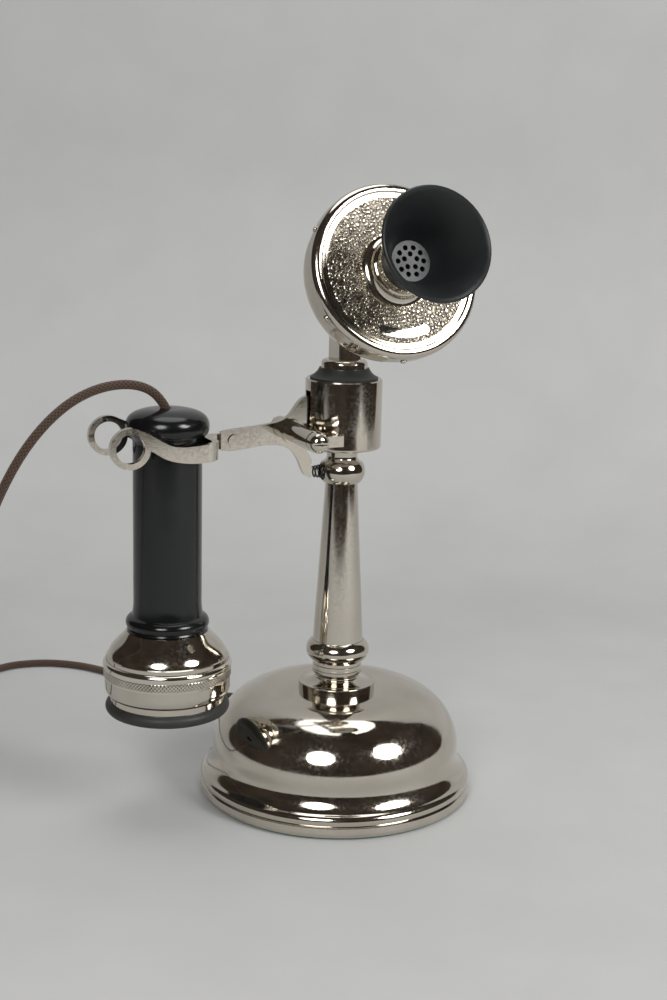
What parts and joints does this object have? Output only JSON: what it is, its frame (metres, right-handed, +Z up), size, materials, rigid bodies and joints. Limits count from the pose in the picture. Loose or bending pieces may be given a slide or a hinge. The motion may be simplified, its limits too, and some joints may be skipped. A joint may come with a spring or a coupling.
{
  "type": "desk-stand telephone",
  "caption": "Nickel-plated candlestick telephone: domed base, tapered column, tilting transmitter with a horn mouthpiece, and a corded receiver hung on a sprung forked hook.",
  "frame": {"origin": "centre of the foot on the table", "axes": "+Z up, the transmitter faces -Y, the hook and receiver are on -X"},
  "size_m": [0.2617, 0.3543, 0.3167],
  "materials": {
    "nickel": "polished nickel plate, slightly cloudy",
    "hard_rubber": "semi-gloss hard rubber",
    "composition": "dull charcoal",
    "insulator": "matte charcoal",
    "felt": "green felt",
    "braid": "brown braided cotton",
    "iron": "rough",
    "steel": "dark satin",
    "brass": "satin",
    "aluminium": "satin",
    "soft_rubber": "matte",
    "winding": "silk-covered wire"
  },
  "bodies": {
    "stand": {"felt_pad": "felt", "bottom_plate": "steel", "base_weight": "iron", "plate_screws": "steel", "base_shell": "nickel", "cord_bushing": "hard_rubber", "base_collar": "nickel", "stem_foot": "nickel", "stem_washer": "steel", "stem_nut": "steel", "stem_tube": "nickel", "stem_head": "nickel", "housing_cup": "nickel", "housing_nut": "steel", "housing_barrel": "nickel", "shoulder": "insulator", "switch_frame": "brass", "switch_blades": "brass", "switch_insulators": "insulator", "post_nut": "steel", "pivot_screw": "nickel", "hook_spring": "steel", "transmitter_post": "nickel", "tilt_screw": "nickel", "receiver_cord": "braid"},
    "hook": {"hook_lever": "nickel", "hook_fork": "nickel", "fork_screw": "nickel"},
    "transmitter": {"tilt_bracket": "nickel", "bracket_rivets": "nickel", "transmitter_cup": "nickel", "transmitter_rim": "nickel", "face_plate": "nickel", "rim_screws": "nickel", "mouthpiece_neck": "nickel", "neck_screw": "nickel", "mouthpiece": "hard_rubber", "gasket": "soft_rubber", "diaphragm": "aluminium", "carbon_button": "brass", "button_bridge": "brass", "bridge_screws": "steel"},
    "receiver": {"receiver_tail_cap": "hard_rubber", "receiver_shell": "hard_rubber", "receiver_cup": "nickel", "clamp_ring": "nickel", "receiver_band": "nickel", "ear_cap": "composition", "receiver_diaphragm": "steel", "magnet_bridge": "brass", "receiver_magnet": "steel", "pole_pieces": "steel", "receiver_coils": "winding"}
  },
  "joints": [
    {"name": "receiver_lift", "type": "slide", "parent": "stand", "child": "receiver", "axis": [-0.7071, 0, 0.7071], "range_m": [0, 0.085], "deforming": ["receiver_cord"]},
    {"name": "hook_rise", "type": "hinge", "parent": "stand", "child": "hook", "pos_m": [-0.028, 0, 0.1928], "axis": [0, 1, 0], "range_deg": [0, 12], "deforming": ["hook_spring"]},
    {"name": "transmitter_tilt", "type": "hinge", "parent": "stand", "child": "transmitter", "pos_m": [0, 0, 0.252], "axis": [-1, 0, 0], "range_deg": [-30, 25]}
  ],
  "couplings": [
    {"joint": "hook_rise", "follows": "receiver_lift", "rad_per_m": 2.4639}
  ]
}
